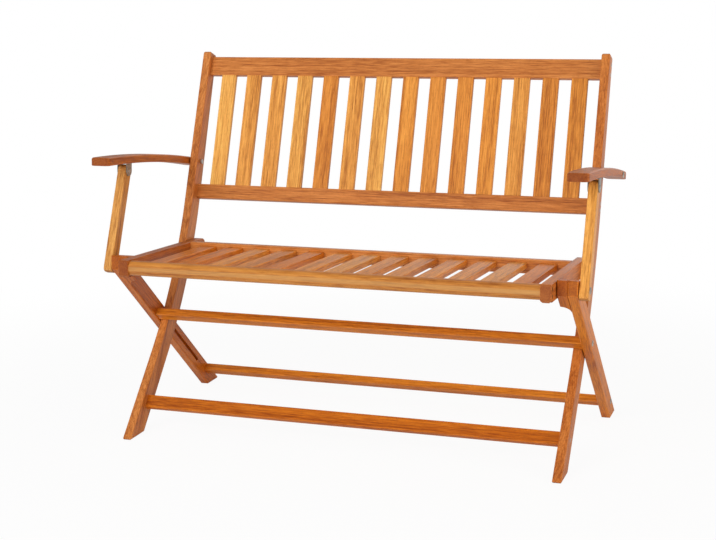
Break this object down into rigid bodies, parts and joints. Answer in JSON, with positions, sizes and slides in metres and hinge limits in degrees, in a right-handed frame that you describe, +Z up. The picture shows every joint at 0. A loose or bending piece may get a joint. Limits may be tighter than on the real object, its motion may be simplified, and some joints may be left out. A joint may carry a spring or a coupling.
{
  "type": "folding bench",
  "caption": "Wooden folding bench for two with slatted back and seat, curved armrests and crossing legs that fold flat together on pivot bolts",
  "frame": {"origin": "on the floor, under the middle of the open bench's bounding box", "axes": "+X along the bench to the sitter's left, seen from the front to the right; +Y from the front to the back; +Z up"},
  "size_m": [1.166, 0.5877, 0.8877],
  "materials": {
    "timber": "oiled hardwood, satin",
    "steel": "zinc-plated steel"
  },
  "bodies": {
    "back_frame": {"left_back_stile": "timber", "right_back_stile": "timber", "back_top_rail": "timber", "back_lower_rail": "timber", "back_slat_01": "timber", "back_slat_02": "timber", "back_slat_03": "timber", "back_slat_04": "timber", "back_slat_05": "timber", "back_slat_06": "timber", "back_slat_07": "timber", "back_slat_08": "timber", "back_slat_09": "timber", "back_slat_10": "timber", "back_slat_11": "timber", "back_slat_12": "timber", "back_slat_13": "timber", "back_slat_14": "timber", "front_stretcher": "timber", "guide_pins": "steel", "stile_screws": "steel", "seat_rear_pivot_bolts": "steel", "arm_pivot_bolts": "steel", "arm_pivot_nuts": "steel", "stile_pivot_washers": "steel"},
    "seat": {"left_seat_side_rail": "timber", "right_seat_side_rail": "timber", "seat_front_rail": "timber", "seat_rear_rail": "timber", "seat_slat_01": "timber", "seat_slat_02": "timber", "seat_slat_03": "timber", "seat_slat_04": "timber", "seat_slat_05": "timber", "seat_slat_06": "timber", "seat_slat_07": "timber", "seat_slat_08": "timber", "seat_slat_09": "timber", "seat_slat_10": "timber", "seat_slat_11": "timber", "seat_slat_12": "timber", "seat_slat_13": "timber", "seat_frame_screws": "steel", "seat_front_pivot_bolts": "steel", "seat_front_pivot_nuts": "steel", "seat_front_pivot_washers": "steel"},
    "rear_legs": {"left_rear_leg": "timber", "right_rear_leg": "timber", "leg_head_spacers": "timber", "stop_rail": "timber", "rear_stretcher": "timber", "rear_leg_screws": "steel"},
    "left_arm": {"left_armrest": "timber", "left_post_bracket": "steel", "left_bracket_fasteners": "steel"},
    "right_arm": {"right_armrest": "timber", "right_post_bracket": "steel", "right_bracket_fasteners": "steel"},
    "left_post": {"left_arm_post": "timber"},
    "right_post": {"right_arm_post": "timber"}
  },
  "joints": [
    {"name": "seat_fold", "type": "hinge", "parent": "back_frame", "child": "seat", "pos_m": [0, 0.08472, 0.4023], "axis": [-1, 0, 0], "range_deg": [0, 95]},
    {"name": "rear_legs_fold", "type": "hinge", "parent": "seat", "child": "rear_legs", "pos_m": [0, -0.22101, 0.41939], "axis": [1, 0, 0], "range_deg": [0, 29.07]},
    {"name": "left_arm_fold", "type": "hinge", "parent": "back_frame", "child": "left_arm", "pos_m": [-0.52, 0.17388, 0.612], "axis": [-1, 0, 0], "range_deg": [0, 95]},
    {"name": "right_arm_fold", "type": "hinge", "parent": "back_frame", "child": "right_arm", "pos_m": [0.52, 0.17388, 0.612], "axis": [-1, 0, 0], "range_deg": [0, 95]},
    {"name": "left_post_fold", "type": "hinge", "parent": "seat", "child": "left_post", "pos_m": [-0.56, -0.22101, 0.41939], "axis": [1, 0, 0], "range_deg": [0, 95]},
    {"name": "right_post_fold", "type": "hinge", "parent": "seat", "child": "right_post", "pos_m": [0.56, -0.22101, 0.41939], "axis": [1, 0, 0], "range_deg": [0, 95]}
  ],
  "couplings": [
    {"joint": "rear_legs_fold", "follows": "seat_fold", "ratio": 0.306},
    {"joint": "left_arm_fold", "follows": "seat_fold", "ratio": 1},
    {"joint": "right_arm_fold", "follows": "seat_fold", "ratio": 1},
    {"joint": "left_post_fold", "follows": "seat_fold", "ratio": 1},
    {"joint": "right_post_fold", "follows": "seat_fold", "ratio": 1}
  ]
}
